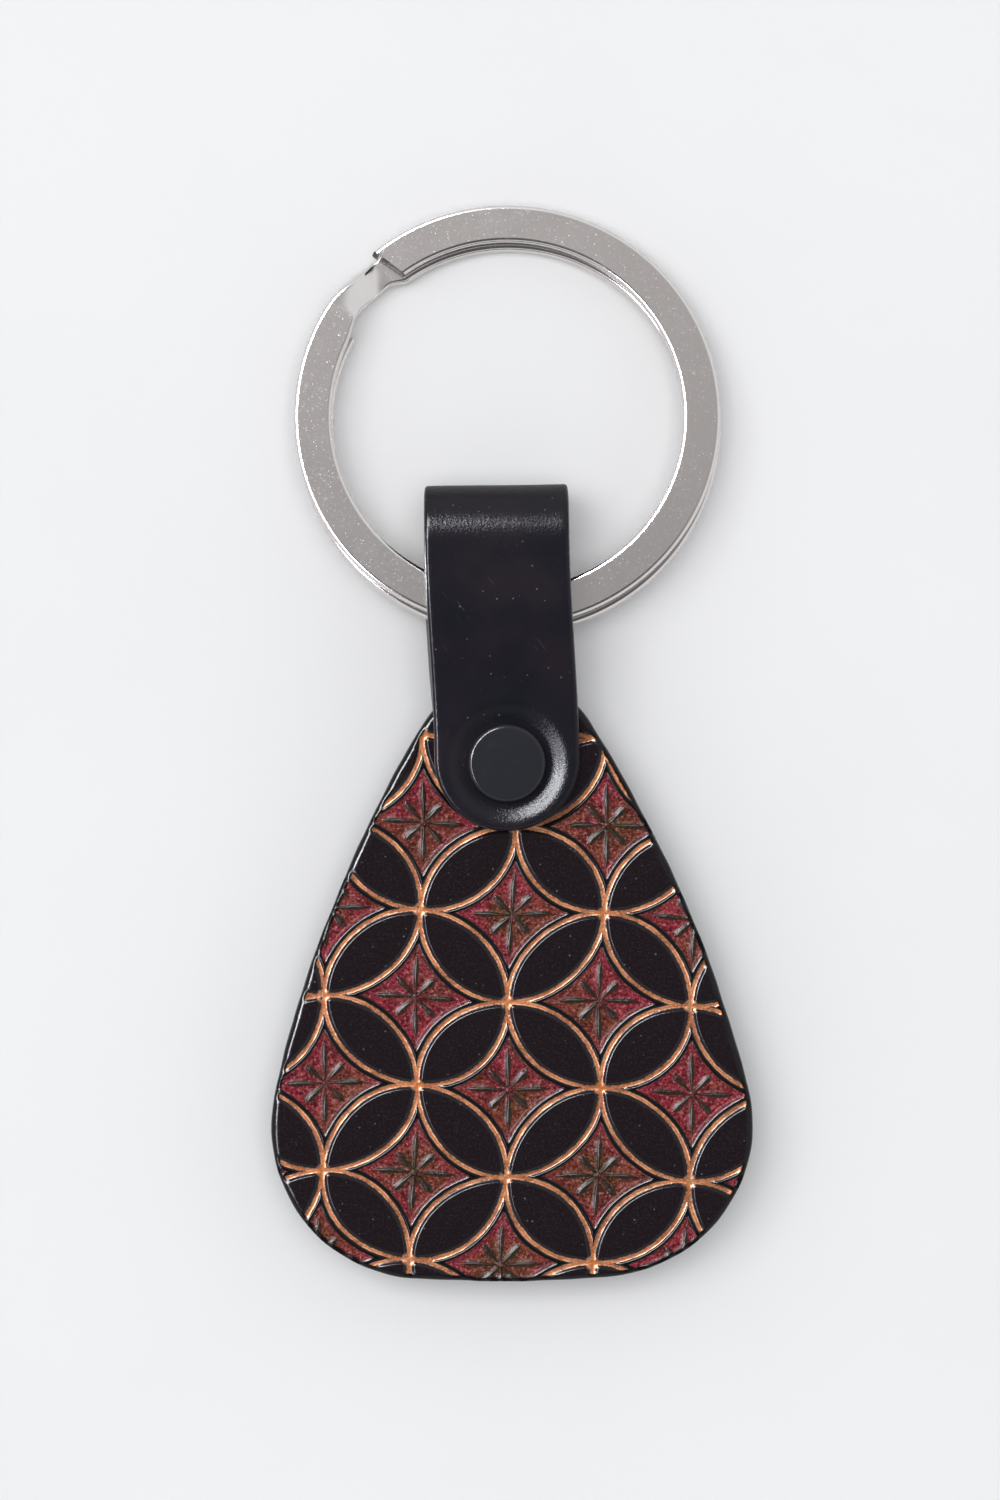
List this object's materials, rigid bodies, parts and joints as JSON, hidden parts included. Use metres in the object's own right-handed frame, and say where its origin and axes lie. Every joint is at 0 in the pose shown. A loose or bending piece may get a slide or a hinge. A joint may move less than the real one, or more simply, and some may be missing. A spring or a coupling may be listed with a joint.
{
  "type": "pick holder",
  "caption": "Plectrum-shaped tooled leather holder with a flat rear pocket for guitar picks, riveted to a folded strap that swivels and carries a flat split key ring.",
  "frame": {"origin": "middle of the footprint, on the surface the holder lies on", "axes": "+X to the right seen from the tooled side, +Y from the body towards the ring, +Z out of the tooled face"},
  "size_m": [0.036, 0.0808, 0.0085],
  "materials": {
    "tooled_leather": "hand tooled, glossy black petals with copper lines on a crimson ground",
    "black_leather": "black, semi-matte, burnished edges",
    "strap_leather": "black, smooth, semi-gloss",
    "black_enamel": "black enamel, semi-gloss",
    "rivet_steel": "plain",
    "nickel": "polished nickel plate"
  },
  "bodies": {
    "holder": {"front_leaf": "tooled_leather", "backing_leaf": "black_leather", "pocket_welt": "black_leather", "pocket_panel": "black_leather", "rivet_front_cap": "black_enamel", "rivet_barrel": "rivet_steel", "rivet_rear_cap": "black_enamel", "rivet_stem": "rivet_steel"},
    "loop_strap": {"strap": "strap_leather"},
    "key_ring": {"split_ring": "nickel"}
  },
  "joints": [
    {"name": "strap_swivel", "type": "hinge", "parent": "holder", "child": "loop_strap", "pos_m": [0, -0.00163, 0.0043], "axis": [0, 0, 1], "range_deg": [-60, 60]},
    {"name": "ring_swing", "type": "hinge", "parent": "loop_strap", "child": "key_ring", "pos_m": [0, 0.01037, 0.0043], "axis": [1, 0, 0], "range_deg": [-120, 150]}
  ]
}
